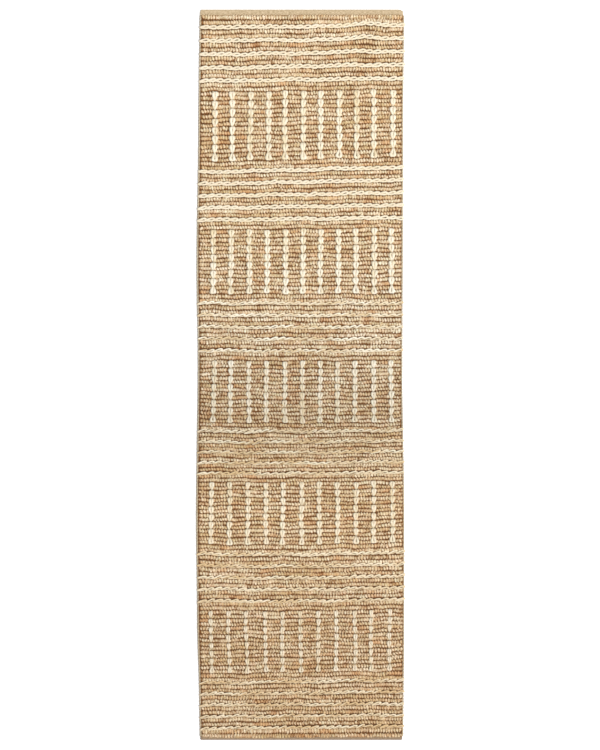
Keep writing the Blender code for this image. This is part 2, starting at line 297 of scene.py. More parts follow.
def yarn_rings(path, half_width, half_height, turns, groove, sides, firm=1.0):
    """Rings round a path of (tubes, steps, 3). Each is an ellipse that the yarn's plies swell in turn, by
    groove, the share of its width and of its height, and by how firm the twist is at each step."""
    ahead = np.gradient(path, axis=1)
    ahead /= np.linalg.norm(ahead, axis=-1, keepdims=True)
    across = np.cross(np.broadcast_to([0.0, 0.0, 1.0], ahead.shape), ahead)
    across /= np.maximum(np.linalg.norm(across, axis=-1, keepdims=True), 1e-9)
    upward = np.cross(ahead, across)
    angle = 2 * math.pi * np.arange(sides) / sides
    ply_wave = np.cos(PLIES * (angle[None, None, :] - turns[:, :, None])) - GROOVE_SINK
    ply_wave *= np.asarray(firm)[..., None]
    wide = (np.cos(angle) * (1 + groove[0] * ply_wave) * np.asarray(half_width)[..., None])[..., None]
    high = (np.sin(angle) * (1 + groove[1] * ply_wave) * np.asarray(half_height)[..., None])[..., None]
    return path[:, :, None] + across[:, :, None] * wide + upward[:, :, None] * high


SPARE_KNOTS = 4


def smooth_noise(chance, shape, steps_per_wave):
    """Seeded noise along the last axis, even and about 1 high, that changes over that many steps."""
    length = shape[-1]
    knots = int(length / steps_per_wave) + SPARE_KNOTS
    raw = chance.normal(size=(*shape[:-1], knots))
    at = np.arange(length) / steps_per_wave + chance.uniform(0, 1, size=(*shape[:-1], 1))
    low = np.floor(at).astype(int)
    step = at - low
    step = step * step * (3 - 2 * step)
    before = np.take_along_axis(raw, low, -1)
    after = np.take_along_axis(raw, low + 1, -1)
    return before * (1 - step) + after * step


# Unbleached cotton: soft, matt and even, so its roughness is high and its pattern is fine ply. Its
# dark brown is painted shade for the gaps between the rows, darker than the cotton itself.
COTTON_FLUFF_PER_METRE = 260.0
COTTON_BUMP_MM = 0.8
cotton, cotton_tree, cotton_shader = new_material("cotton_cord_painted_shade", roughness=0.9)
cotton_place = add_node(cotton_tree, "ShaderNodeTexCoord", out="Object")
cotton_fluff = add_node(
    cotton_tree, "ShaderNodeTexNoise",
    {"Vector": cotton_place, "Scale": COTTON_FLUFF_PER_METRE, "Detail": 3.0}, "Fac",
)
# Painted shade: a dark brown for the shade in the gaps between the rows.
painted_shade_cotton_tone = add_node(
    cotton_tree, "ShaderNodeMix",
    {0: cotton_fluff, 6: linear("#4a2a0e"), 7: linear("#6a4218")}, 2, **COLOUR_MIX,
)
cotton_tree.links.new(painted_shade_cotton_tone, cotton_shader.inputs["Base Color"])
cotton_bump = add_node(
    cotton_tree, "ShaderNodeBump",
    {"Height": cotton_fluff, "Strength": 0.4, "Distance": COTTON_BUMP_MM * MM}, "Normal",
)
cotton_tree.links.new(cotton_bump, cotton_shader.inputs["Normal"])

WARP_SPACING_MM = 4.6
CORD_RADIUS_MM = 1.3
FLUFF_HALF_MM = 0.5
WARP_WIDENING_MM = 8.0
STEPS_ROUND_CORD = 6
STEPS_DOWN_WARP = 46

warp_low, warp_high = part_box("warp_cords")
warp_middle_z = (warp_low.z + warp_high.z) / 2
warp_reach = warp_high.x + WARP_WIDENING_MM * MM
cord_count = int(2 * warp_reach / (WARP_SPACING_MM * MM))
share_across = np.linspace(0, 1, cord_count * STEPS_ROUND_CORD + 1)
cord_wave = np.abs(np.sin(math.pi * cord_count * share_across))
cord_height = FLUFF_HALF_MM + (CORD_RADIUS_MM - FLUFF_HALF_MM) * cord_wave
warp_x = warp_reach * (2 * share_across - 1)
loop_x = np.concatenate([warp_x, warp_x[::-1]])
loop_z = warp_middle_z + np.concatenate([cord_height, -cord_height[::-1]]) * MM
warp_y = np.linspace(warp_high.y, warp_low.y, STEPS_DOWN_WARP)
warp_rings = np.stack(
    np.broadcast_arrays(loop_x[None, None, :], warp_y[None, :, None], loop_z[None, None, :]), -1
)
WHOLE_MAP = [(0, 0, 1, 1)]
warp = add_tubes(
    "warp_cords_cotton", laid_out(warp_rings), warp_y[None, :], WHOLE_MAP,
    cotton, ["warp_cords"],
)

# --- Jute rows --------------------------------------------------------------------------------
# Each row is one thick hand-spun jute yarn of two plies, beaten down flat by the next. The rows of
# a stripe lie in pairs between the braids, and the rows of a panel lie in pairs behind each stitch.

# Raw jute: long stiff fibres, spun at about 35 degrees and not bleached. It is matt with hardly any
# shine, straw to reddish brown and streaked along its fibres. Where one yarn meets the next it is
# darkened with painted shade.
FIBRE_ANGLE = math.radians(35)
FIBRE_WIDTH_MM = 0.9  # real fibre bundles are 0.2 mm, drawn coarser so that they show
FIBRE_LENGTH_MM = 14
ROSY_TINT = "#faf4ef"
GREEN_TINT = "#f2f7f0"
MIDDLE_Z = 4.6 * MM
COLOUR_PRODUCT = {"data_type": "RGBA", "blend_type": "MULTIPLY"}
SMOOTH_RANGE = {"interpolation_type": "SMOOTHSTEP"}


def fibre_pattern(tree, angle, width_mm, length_mm):
    """The yarn's own length and girth, and streaks that run along its twisted fibres."""
    yarn = add_node(tree, "ShaderNodeUVMap", out="UV", uv_map="yarn")
    turned = add_node(tree, "ShaderNodeMapping", {"Vector": yarn, "Rotation": (0.0, 0.0, angle)}, "Vector")
    stretched = add_node(
        tree, "ShaderNodeVectorMath",
        {0: turned, 1: (1 / (length_mm * MM), 1 / (width_mm * MM), 1.0)}, "Vector", operation="MULTIPLY",
    )
    fibres = add_node(
        tree, "ShaderNodeTexNoise",
        {"Vector": stretched, "Scale": 1.0, "Detail": 3.0, "Roughness": 0.6}, "Fac",
    )
    return yarn, fibres


# The yarn's colour changes a little down the rug: share of the length from the +Y end, and tint.
# The darkening towards the -Y end is painted shade, for light that falls off down the rug; the small
# changes of hue between the bands are the yarn's own.
TINTS_DOWN_RUG = (
    (0.0, "#fefcf7"), (0.3, "#f8f7f2"), (0.43, "#f5f8fb"), (0.56, "#dfddd8"), (0.69, "#f0ece4"),
    (0.82, "#e9e5df"), (1.0, "#e4ded5"),
)


def tint_down_rug(tree, along_rug):
    """The yarn's tint at a place along the rug, painted shade towards the -Y end included."""
    share = add_node(
        tree, "ShaderNodeMapRange",
        {"Value": along_rug, "From Min": rug_high.y, "From Max": rug_low.y}, "Result",
    )
    made = add_node(tree, "ShaderNodeValToRGB", {"Fac": share})
    stops = made.color_ramp.elements
    for _ in TINTS_DOWN_RUG[2:]:
        stops.new(0.5)
    for stop, (place, tint) in zip(stops, TINTS_DOWN_RUG):
        stop.position = place
        stop.color = linear(tint)
    return made.outputs["Color"]


# The spots of tone in a spun yarn: how many to the metre along it and round it, and their detail.
YARN_SPOTS = {"hank": (14, 20, 2), "tuft": (200, 111, 2), "length": (3.2, 3, 1), "hue": (38, 15, 2)}

# Where each pattern starts to show and where it shows fully, from 0 to 1 on its noise.
PALE_RANGE = (0.72, 1.3)  # on the sum of two noises
HUE_RANGE = (0.3, 0.7)
DEEP_RANGE = (0.62, 0.35)
DEEP_MOST = 0.75

# Spun plant fibre scatters light: a weak gloss, and a faint bloom from its hairs.
FIBRE_SPECULAR = 0.25
FIBRE_SHEEN = 0.05
FIBRE_SHEEN_ROUGHNESS = 0.6


def yarn_material(
    name, pale, mid, deep, patch, painted_shade, patches, roughness, bump_mm, dark_z, light_z,
    patch_range=(0.5, 0.72),
):
    """A spun yarn: fibre streaks from pale to deep, and hanks that turn to patch by up to patches. Where it
    dips, from light_z to dark_z, both in mm from the middle of the rug's thickness, painted shade darkens
    its colour towards the shade colour, for the shade in the gaps between yarns."""
    material, tree, shader = new_material(name, roughness)
    yarn, fibres = fibre_pattern(tree, FIBRE_ANGLE, FIBRE_WIDTH_MM, FIBRE_LENGTH_MM)
    spots = {}
    for kind, (per_metre, per_metre_round, detail) in YARN_SPOTS.items():
        place = add_node(
            tree, "ShaderNodeVectorMath",
            {0: yarn, 1: (per_metre, per_metre_round, 1.0)}, "Vector", operation="MULTIPLY",
        )
        spots[kind] = add_node(
            tree, "ShaderNodeTexNoise", {"Vector": place, "Scale": 1.0, "Detail": detail}, "Fac"
        )
    pale_sum = add_node(tree, "ShaderNodeMath", {0: spots["tuft"], 1: spots["length"]}, 0, operation="ADD")
    pale_share = add_node(
        tree, "ShaderNodeMapRange",
        {"Value": pale_sum, "From Min": PALE_RANGE[0], "From Max": PALE_RANGE[1]},
        "Result", **SMOOTH_RANGE,
    )
    plain = add_node(
        tree, "ShaderNodeMix", {0: pale_share, 6: linear(mid), 7: linear(pale)}, 2, **COLOUR_MIX
    )
    hue_share = add_node(
        tree, "ShaderNodeMapRange",
        {"Value": spots["hue"], "From Min": HUE_RANGE[0], "From Max": HUE_RANGE[1]},
        "Result", **SMOOTH_RANGE,
    )
    hue = add_node(
        tree, "ShaderNodeMix", {0: hue_share, 6: linear(ROSY_TINT), 7: linear(GREEN_TINT)}, 2, **COLOUR_MIX
    )
    body = add_node(tree, "ShaderNodeMix", {0: 1.0, 6: plain, 7: hue}, 2, **COLOUR_PRODUCT)
    deep_share = add_node(
        tree, "ShaderNodeMapRange",
        {"Value": fibres, "From Min": DEEP_RANGE[0], "From Max": DEEP_RANGE[1], "To Max": DEEP_MOST},
        "Result", **SMOOTH_RANGE,
    )
    streaked = add_node(tree, "ShaderNodeMix", {0: deep_share, 6: body, 7: linear(deep)}, 2, **COLOUR_MIX)
    patch_share = add_node(
        tree, "ShaderNodeMapRange",
        {"Value": spots["hank"], "From Min": patch_range[0], "From Max": patch_range[1], "To Max": patches},
        "Result", **SMOOTH_RANGE,
    )
    patched = add_node(
        tree, "ShaderNodeMix", {0: patch_share, 6: streaked, 7: linear(patch)}, 2, **COLOUR_MIX
    )
    place = add_node(tree, "ShaderNodeTexCoord", out="Object")
    axes = add_node(tree, "ShaderNodeSeparateXYZ", {"Vector": place})
    tint = tint_down_rug(tree, axes.outputs["Y"])
    drifted = add_node(tree, "ShaderNodeMix", {0: 1.0, 6: patched, 7: tint}, 2, **COLOUR_PRODUCT)
    # Painted shade: the colour darkens where the yarn lies low, near the middle of the rug's thickness, as
    # if shaded in the gaps between yarns.
    height = add_node(tree, "ShaderNodeMath", {0: axes.outputs["Z"], 1: MIDDLE_Z}, 0, operation="SUBTRACT")
    from_middle = add_node(tree, "ShaderNodeMath", {0: height}, 0, operation="ABSOLUTE")
    painted_shade_share = add_node(
        tree, "ShaderNodeMapRange",
        {
            "Value": from_middle, "From Min": dark_z * MM, "From Max": light_z * MM,
            "To Min": 1.0, "To Max": 0.0,
        },
        "Result", **SMOOTH_RANGE,
    )
    painted_shade_colour = add_node(tree, "ShaderNodeMix", {0: 1.0, 6: drifted, 7: linear(painted_shade)}, 2, **COLOUR_PRODUCT)
    shaded = add_node(tree, "ShaderNodeMix", {0: painted_shade_share, 6: drifted, 7: painted_shade_colour}, 2, **COLOUR_MIX)
    tree.links.new(shaded, shader.inputs["Base Color"])
    bump = add_node(
        tree, "ShaderNodeBump", {"Height": fibres, "Strength": 0.8, "Distance": bump_mm * MM}, "Normal"
    )
    tree.links.new(bump, shader.inputs["Normal"])
    shader.inputs["Specular IOR Level"].default_value = FIBRE_SPECULAR
    shader.inputs["Sheen Weight"].default_value = FIBRE_SHEEN
    shader.inputs["Sheen Roughness"].default_value = FIBRE_SHEEN_ROUGHNESS
    return material


jute = yarn_material(
    "raw_jute_yarn", pale="#fff6e4", mid="#ddc39b", deep="#8e662e", patch="#c08a52", painted_shade="#946a30",
    patches=0.55, roughness=0.85, bump_mm=0.5, dark_z=1.5, light_z=4.9,
)

ROW_STEP_MM = 2.0
ROW_SIDES = 12
ROW_HALF_WIDTH = 0.533
ROW_HALF_HEIGHT_MM = 4.2
PLY_TURN_MM = 18.0
PLY_GROOVE = (0.08, 0.21)
OVER_UNDER_MM = 0.95
BEAD_WIDENING = 0.19
ROW_OVER_EDGE_MM = 2.0
TURN_REACH_MM = 9.0
TURN_SHARE = 0.4
END_BLUNTNESS_MM = (0.6, 3.5)
END_TAPER_MM = 9.0
END_DIP_MM = 1.6
END_DIP_REACH_MM = 7.0
HEM_OVERLAPS_MM = (3.0, 6.0)
HEM_ROW_SHIFTS = np.array([0.75, 0.25])  # of the overlap: the row beside the hem, and the next
FLOOR_GAP_MM = 0.1
FIRM_RANGE = (0.3, 1.7)

# How a hand-spun, hand-woven row varies: each unevenness is a sum of noises, each with its height
# and the steps in one of its waves.
ROW_NOISE = {
    "wobble_mm": ((0.5, 40), (0.3, 7)), "crossing": ((0.9, 12),), "swell_of_all": ((0.6, 14),),
    "swell": ((0.3, 12),), "firmness": ((0.35, 14),), "height_mm": ((0.25, 6),),
    "thickness": ((0.05, 5), (0.05, 2)), "twist": ((0.22, 9),),
}

# A yarn starts at any turn of its twist, and at any place in a long hank.
ANY_TURN = (0, 6.3)
ANY_PLACE = (0, 40)
STRIPES = [f"stripe_{n}" for n in range(1, 7)]
PANELS = [f"panel_{n}" for n in range(1, 6)]
BRAIDS = 5
STITCHES = 8
BRAID_SLOTS_MM = dict(zip(STRIPES, (13.6, 13.4, 9.6, 9.4, 9.8, 9.4)))


def row_places(band):
    """Each jute row's middle and half width across it, from the band's own box."""
    low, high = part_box(band + "_jute_rows")
    length = high.y - low.y
    if band in STRIPES:
        slot = BRAID_SLOTS_MM[band] * MM
        row = (length - BRAIDS * slot) / (2 * (BRAIDS + 1))
        starts = [high.y - pair * (2 * row + slot) for pair in range(BRAIDS + 1)]
        middles = [start - row * (0.5 + n) for start in starts for n in (0, 1)]
    else:
        row = length / (2 * STITCHES)
        middles = [high.y - row * (0.5 + n) for n in range(2 * STITCHES)]
    return np.array(middles), row


def add_rows(band, seed):
    """The jute rows of one band as one piece of separate yarns."""
    chance = np.random.default_rng(seed)
    low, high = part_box(band + "_jute_rows")
    middles, row = row_places(band)
    # The two rows next to a hem are beaten down less, so they are wider and reach under it.
    width = np.full(len(middles), row)
    if band == STRIPES[0]:
        middles[:2] += HEM_OVERLAPS_MM[0] * MM * HEM_ROW_SHIFTS
        width[:2] += HEM_OVERLAPS_MM[0] * MM / 2
    if band == STRIPES[-1]:
        middles[-2:] -= HEM_OVERLAPS_MM[1] * MM * HEM_ROW_SHIFTS[::-1]
        width[-2:] += HEM_OVERLAPS_MM[1] * MM / 2
    reach = (high.x - low.x) / 2 + ROW_OVER_EDGE_MM * MM
    steps = int(2 * reach / (ROW_STEP_MM * MM)) + 1
    x = np.linspace(-reach, reach, steps)
    rows = len(middles)

    def noise(kind, lines=rows):
        """That unevenness of the rows at each step."""
        return sum(height * smooth_noise(chance, (lines, steps), wave) for height, wave in ROW_NOISE[kind])

    wobble = noise("wobble_mm") * MM
    number = np.arange(rows)[:, None]
    crossing = math.pi * x[None, :] / (WARP_SPACING_MM * MM)
    wave = np.cos(crossing + math.pi * number + noise("crossing"))
    # Rows swell and narrow nearly in step, so a small dark hole shows at every second cord.
    swell = np.cos(crossing + (noise("swell_of_all", 1) + noise("swell")))
    from_end = (reach - np.abs(x))[None, :] / MM
    # The two rows of a pair are one yarn, so they bend towards each other where it turns back.
    turn_back = TURN_SHARE * row * np.clip(1 - from_end / TURN_REACH_MM, 0, 1) ** 2
    y = middles[:, None] + wobble + np.where(number % 2 == 0, -1, 1) * turn_back
    firm = np.clip(1 + noise("firmness"), *FIRM_RANGE)
    z = MIDDLE_Z + OVER_UNDER_MM * MM * wave * firm + noise("height_mm") * MM
    z -= END_DIP_MM * MM * np.clip(1 - from_end / END_DIP_REACH_MM, 0, 1) ** 2
    thick = 1 + noise("thickness")
    wide = thick + BEAD_WIDENING * swell * (1 + firm) / 2
    blunt = np.where(x < 0, *END_BLUNTNESS_MM)[None, :]
    ending = np.minimum(1, (from_end + blunt) / END_TAPER_MM) ** 0.5
    path = np.stack(np.broadcast_arrays(x[None, :], y, z), -1)
    rate = 2 * math.pi / PLY_TURN_MM * ROW_STEP_MM * (1 + noise("twist"))
    turns = np.cumsum(rate, axis=1) + chance.uniform(*ANY_TURN, size=(rows, 1))
    half_width = width[:, None] * ROW_HALF_WIDTH * wide * ending
    half_height = ROW_HALF_HEIGHT_MM * MM * thick * ending
    rings = yarn_rings(laid_out(path), half_width, half_height, turns, PLY_GROOVE, ROW_SIDES, firm)
    rings[..., 2] = np.maximum(rings[..., 2], FLOOR_GAP_MM * MM)
    along = x[None, :] + chance.uniform(*ANY_PLACE, size=(rows, 1))
    cells = [(0, n / rows, 1, 1 / rows) for n in range(rows)]
    return add_tubes(
        band + "_jute_yarns", rings, along, cells, jute, [band + "_jute_rows"]
    )


rows = [add_rows(band, seed) for seed, band in enumerate(STRIPES + PANELS, start=1)]

# --- Ivory braids -----------------------------------------------------------------------------
# Each braid is a chain of loops in thick, soft bleached yarn, worked from left to right over the
# jute. A loop starts at a point inside the last one, widens, and closes under the next.

# Bleached jute and cotton: softer and more even than raw jute, matt, and ivory with sandy hanks.
# Its colour is darkened with painted shade where it dips.
ivory_braid = yarn_material(
    "bleached_ivory_yarn", pale="#efe7de", mid="#e5daca", deep="#c4b290", patch="#d5c5a4",
    painted_shade="#9c8868", patches=0.7, roughness=0.85, bump_mm=0.4, dark_z=2.6, light_z=5.6,
)

# From the third stripe on, the braid yarn is less bleached, and some hanks are nearly as dark as
# jute. It too is darkened with painted shade where it dips.
muted_braid = yarn_material(
    "half_bleached_braid_yarn", pale="#fcf7ec", mid="#f3ead9", deep="#cab693", patch="#ceb389",
    painted_shade="#9a805a", patches=0.92, roughness=0.85, bump_mm=0.4, dark_z=2.2, light_z=5.2,
    patch_range=(0.40, 0.62),
)

LOOP_PITCH_MM = 26.0
LOOP_STEPS = 31
LOOP_SIDES = 8
LOOP_REACH_MM = 4.6
LOOP_YARN_MM = 3.8
LOOP_MIDDLE_Z_MM = 8.2
LOOP_FLOOR_GAP_MM = 0.3
BRAID_SAG_MM = 0.3
BRAID_END_MM = 2.0
BRAID_SIZES = dict(zip(STRIPES, (1.0, 0.97, 0.76, 0.73, 0.76, 0.73)))
BRAID_LEANS = dict(zip(STRIPES, (0.10, 0.10, 0.20, 0.20, 0.20, 0.20)))
BRAID_DROPS_MM = dict(zip(STRIPES, (0.7, 0.7, 2.6, 2.6, 2.6, 2.6)))
BRAID_YARNS = dict(zip(STRIPES, [ivory_braid] * 2 + [muted_braid] * 4))

# A loop from its point to its closed end: share of the way round, forward in pitches, sideways in
# reaches, height in mm, and thickness.
BRAID_LOOP = (
    (0.0, -0.12, 0.15, -2.2, 0.65), (0.12, 0.04, 0.32, -0.3, 0.85), (0.32, 0.32, 0.58, 0.8, 1.0),
    (0.62, 0.76, 1.05, 1.0, 1.0), (0.85, 1.06, 0.76, 0.4, 1.0), (1.0, 1.14, 0.0, -1.6, 0.95),
)

# A loop is smoothed over this many steps, and its legs part and drop this sharply.
SMOOTHED_STEPS = 5
LEG_PARTING = 6
LEG_DROPPING = 3


def loop_path(shape, pitch, reach, drop):
    """One loop of a chain from its point at 0: along, sideways, height in metres, and thickness. Its
    right leg lies lower by drop."""
    t = np.linspace(-1, 1, LOOP_STEPS)
    way, *curves = np.array(shape).T
    curves = [np.interp(1 - np.abs(t), way, curve) for curve in curves]
    share = np.full(SMOOTHED_STEPS, 1 / SMOOTHED_STEPS)
    forward, sideways, height, thick = [
        np.convolve(np.pad(curve, SMOOTHED_STEPS // 2, mode="edge"), share, "valid") for curve in curves
    ]
    dropped = np.clip(LEG_DROPPING * t, 0, 1) * np.clip(LEG_DROPPING * (1 - t), 0, 1)
    sideways = -np.tanh(LEG_PARTING * t) * sideways * reach
    return forward * pitch, sideways, height * MM - drop * dropped, thick


# How worked loops vary: reach in shares, turn to one side, and height; then the yarn's thickness, as
# a share and the steps in one of its waves.
LOOP_REACH_RANGE = (0.86, 1.12)
LOOP_SKEW = 0.05
LOOP_LIFT_MM = 0.25
LOOP_THICK_THIN = (0.07, 5)

# The loop yarn: a shallow groove between its plies, its turn at each step, its height as a share of
# its width, and its length at each step and from one loop to the next.
LOOP_GROOVE = (0.1, 0.1)
LOOP_TWIST = 0.85  # radians
LOOP_FLATNESS = 0.92
LOOP_STEP_MM = 1.9
LOOP_TONE_STEP_MM = 14
LOOP_SEED_STEP = 500


def add_loops(name, shape, starts, directions, size, lean, drop, seed, layout, material, nodes):
    """Chain loops from their points, each as long as its direction. size is each loop's reach and the
    yarn's half thickness, lean how far each turns to its left, and drop how low its right leg lies."""
    reaches, yarn_half = size
    chance = np.random.default_rng(seed + LOOP_SEED_STEP)
    count = len(starts)
    paths = np.empty((count, LOOP_STEPS, 3))
    thick = np.empty((count, LOOP_STEPS))
    for n, (start, direction) in enumerate(zip(starts, directions)):
        pitch = np.linalg.norm(direction)
        reach = reaches[n] * chance.uniform(*LOOP_REACH_RANGE)
        forward, sideways, height, thick[n] = loop_path(shape, pitch, reach, drop)
        direction = direction / pitch
        left = np.array([-direction[1], direction[0]])
        skew = lean + chance.normal(0, LOOP_SKEW)
        plan = np.outer(forward, direction) + np.outer(sideways + skew * (forward - pitch / 2), left)
        paths[n, :, :2] = start + plan
        paths[n, :, 2] = LOOP_MIDDLE_Z_MM * MM + height + chance.normal(0, LOOP_LIFT_MM) * MM
    steps = np.arange(LOOP_STEPS)
    turns = steps[None, :] * LOOP_TWIST + chance.uniform(*ANY_TURN, size=(count, 1))
    share, wave = LOOP_THICK_THIN
    girth = yarn_half * thick * (1 + share * smooth_noise(chance, (count, LOOP_STEPS), wave))
    rings = yarn_rings(paths, girth, girth * LOOP_FLATNESS, turns, LOOP_GROOVE, LOOP_SIDES)
    rings[..., 2] = np.maximum(rings[..., 2], LOOP_FLOOR_GAP_MM * MM)
    # Loops that follow each other come from one hank, so its tone changes slowly along the chain.
    along = steps[None, :] * LOOP_STEP_MM * MM + LOOP_TONE_STEP_MM * MM * np.arange(count)[:, None]
    along += chance.uniform(*ANY_PLACE)
    columns, lines = layout
    wide, high = 1 / columns, 1 / lines
    cells = [((n % columns) / columns, (n // columns) / lines, wide, high) for n in range(count)]
    return add_tubes(name, rings, along, cells, material, nodes)


# How a braid varies: how far a loop's ends move along it, and how far it wanders, with the loops in
# one of its waves.
LOOP_SHIFT_MM = 2
BRAID_WOBBLE_MM = (0.4, 3)
BRAID_SEEDS = 100


def add_braid(node, stripe, seed):
    """One braid across the rug, its loops between the two edges."""
    chance = np.random.default_rng(seed)
    low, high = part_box(node)
    y = (low.y + high.y) / 2 - BRAID_SAG_MM * MM
    left, right = rug_low.x + BRAID_END_MM * MM, rug_high.x - BRAID_END_MM * MM
    count = round((right - left) / (LOOP_PITCH_MM * MM))
    edges = np.linspace(left, right, count + 1)
    edges[1:-1] += chance.uniform(-LOOP_SHIFT_MM, LOOP_SHIFT_MM, size=count - 1) * MM
    height, wave = BRAID_WOBBLE_MM
    wobble = height * smooth_noise(chance, (1, count + 1), wave)[0]
    line = laid_out(np.stack([edges, y + wobble * MM, np.zeros(count + 1)], -1))[:, :2]
    size = BRAID_SIZES[stripe]
    return add_loops(
        node + "_chain", BRAID_LOOP, line[:-1], np.diff(line, axis=0),
        (np.full(count, LOOP_REACH_MM * size * MM), LOOP_YARN_MM * size * MM),
        BRAID_LEANS[stripe], BRAID_DROPS_MM[stripe] * MM, seed,
        (count, 1), BRAID_YARNS[stripe], [node],
    )


braids = []
for stripe in STRIPES:
    for number in range(1, BRAIDS + 1):
        braids.append(add_braid(f"{stripe}_braid_{number}", stripe, BRAID_SEEDS + len(braids)))

# --- Ivory stitch columns ---------------------------------------------------------------------
# In each panel bleached yarn is worked in eleven upright chains of eight heart-shaped stitches, each
# over a pair of jute rows. It is carried under the jute from one column to the next.

# The stitch yarn is bleached jute and cotton too: soft, matt and a little paler than the braids.
# Its colour is darkened with painted shade where it dips.
ivory_stitch = yarn_material(
    "bleached_ivory_stitch_yarn", pale="#f3ede6", mid="#e9e0d3", deep="#c6b593", patch="#cfbd9a",
    painted_shade="#94805e", patches=0.8, roughness=0.85, bump_mm=0.4, dark_z=3.0, light_z=6.2,
    patch_range=(0.46, 0.70),
)

COLUMN_PITCH_MM = 59.3
COLUMN_HALF_MM = 10.0
STITCH_REACH_MM = 7.2
STITCH_YARN_MM = 4.75
FOOT_SPREAD = 1.15
COLUMN_DRIFTS_MM = dict(zip(PANELS, (6, 8, 4, 2, -4)))
COLUMN_SHIFT_MM = 2.5
COLUMN_WOBBLE_MM = (1.2, 2)
COLUMN_SEEDS = 300
STITCH_SIZES = dict(zip(PANELS, (1.0, 0.98, 0.86, 0.86, 0.7)))

# A stitch is a loop that stays narrow at its foot and opens into two lobes at its head.
STITCH_LOOP = (
    (0.0, -0.05, 0.12, -1.6, 0.55), (0.2, 0.16, 0.28, -0.4, 0.72), (0.45, 0.46, 0.60, 0.8, 1.06),
    (0.72, 0.77, 0.86, 1.0, 1.34), (0.9, 0.89, 0.50, 0.0, 1.1), (1.0, 0.77, 0.0, -1.6, 0.7),
)


def add_columns(panel, seed):
    """The stitch columns of one panel. The lowest stitch of each points the other way."""
    chance = np.random.default_rng(seed)
    node = panel + "_stitch_columns"
    low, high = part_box(node)
    count = round((high.x - low.x - 2 * COLUMN_HALF_MM * MM) / (COLUMN_PITCH_MM * MM)) + 1
    places = np.linspace(low.x + COLUMN_HALF_MM * MM, high.x - COLUMN_HALF_MM * MM, count)
    pitch = (high.y - low.y) / STITCHES
    size = STITCH_SIZES[panel]
    reaches = size * STITCH_REACH_MM * MM * np.array([FOOT_SPREAD] + [1.0] * (STITCHES - 1))
    starts, directions = [], []
    height, wave = COLUMN_WOBBLE_MM
    y = low.y + pitch * np.arange(STITCHES + 1)
    for place in places + COLUMN_DRIFTS_MM[panel] * MM:
        shift = chance.uniform(-COLUMN_SHIFT_MM, COLUMN_SHIFT_MM)
        wobble = height * smooth_noise(chance, (1, STITCHES + 1), wave)[0]
        column_x = place + (shift + wobble) * MM
        line = laid_out(np.stack([column_x, y, np.zeros(STITCHES + 1)], -1))[:, :2]
        steps = np.diff(line, axis=0)
        starts += [line[1], *line[1:-1]]
        directions += [-steps[0], *steps[1:]]
    return add_loops(
        node + "_yarn", STITCH_LOOP, starts, directions,
        (np.tile(reaches, count), size * STITCH_YARN_MM * MM), 0.0, 0.0, seed,
        (STITCHES, count), ivory_stitch, [node],
    )


columns = [add_columns(panel, seed) for seed, panel in enumerate(PANELS, start=COLUMN_SEEDS)]

# --- Selvedges --------------------------------------------------------------------------------
# A jute cord runs down each long side from hem to hem, and every row turns back round it, which
# leaves a small hole beside the cord between one row and the next.

# Weathered-looking jute cord: greyer than the rows, matt and coarse, with its twist showing. Its
# colour is darkened with painted shade where it dips.
edge_jute = yarn_material(
    "edge_jute_cord", pale="#dcd2c0", mid="#c8baa2", deep="#9c8a70", patch="#bba98b",
    painted_shade="#86705a", patches=0.5, roughness=0.88, bump_mm=0.4, dark_z=0.5, light_z=3.6,
)
EDGE_STEP_MM = 2.6
EDGE_SIDES = 10
EDGE_TURN_MM = 19.0
EDGE_GROOVE = (0.1, 0.1)
EDGE_MIDDLE_Z_MM = 4.1
EDGE_HEIGHT_SHARE = 1.08
EDGE_THICK_THIN = (0.05, 5)
EDGE_NIP = 0.2
NIP_REACH_MM = 7
YARN_APART = 5.0  # metres from one cord's place in its hank to the other's


def add_selvedge(node, seed):
    """One edge cord, twisted, and nipped in between the rows."""
    chance = np.random.default_rng(seed)
    low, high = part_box(node)
    steps = int((high.y - low.y) / (EDGE_STEP_MM * MM))
    y = np.linspace(high.y, low.y, steps)
    places = np.concatenate([row_places(band)[0] for band in STRIPES + PANELS])
    gap = np.abs(y[:, None] - places[None, :]).min(1)
    nip = 1 - EDGE_NIP * np.clip(gap / (NIP_REACH_MM * MM), 0, 1) ** 2
    middle = [np.full(steps, (low.x + high.x) / 2), y, np.full(steps, EDGE_MIDDLE_Z_MM * MM)]
    path = laid_out(np.stack(middle, -1)[None])
    share, wave = EDGE_THICK_THIN
    half = ((high.x - low.x) / 2) * nip * (1 + share * smooth_noise(chance, (1, steps), wave))
    turns = 2 * math.pi * np.arange(steps)[None, :] * EDGE_STEP_MM / EDGE_TURN_MM
    rings = yarn_rings(path, half, half * EDGE_HEIGHT_SHARE, turns, EDGE_GROOVE, EDGE_SIDES)
    rings[..., 2] = np.maximum(rings[..., 2], FLOOR_GAP_MM * MM)
    along = y[None, :] + YARN_APART * seed
    return add_tubes(node + "_cord", rings, along, WHOLE_MAP, edge_jute, [node])


selvedges = [add_selvedge("left_selvedge", seed=41), add_selvedge("right_selvedge", seed=42)]

# --- Hems -------------------------------------------------------------------------------------
# Each end is finished with a close flat-woven heading in fine sandy yarn, folded under over the
# warp's ends and stitched down. Its fine ribs run along the rug.

